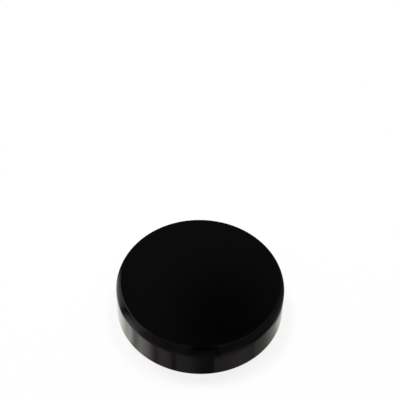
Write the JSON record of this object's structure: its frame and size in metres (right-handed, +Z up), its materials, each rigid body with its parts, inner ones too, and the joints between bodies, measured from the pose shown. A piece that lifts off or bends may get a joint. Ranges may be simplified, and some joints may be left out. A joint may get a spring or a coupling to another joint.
{
  "type": "jar screw lid",
  "caption": "Round smooth-walled plastic screw lid with a flat top, a rounded shoulder, an inner screw thread and a foam sealing disc.",
  "frame": {"origin": "centre of the rim plane, on the lid's axis", "axes": "+Z up the axis from the open rim through the deck; +X towards the end of the thread that is nearest the rim"},
  "size_m": [0.0726, 0.0726, 0.017],
  "materials": {
    "gloss_black": "smooth high-gloss moulded polypropylene, black all through",
    "liner_foam": "white closed-cell foam with a thin satin skin"
  },
  "bodies": {
    "root": {"lid_shell": "gloss_black", "liner": "liner_foam"}
  },
  "joints": []
}
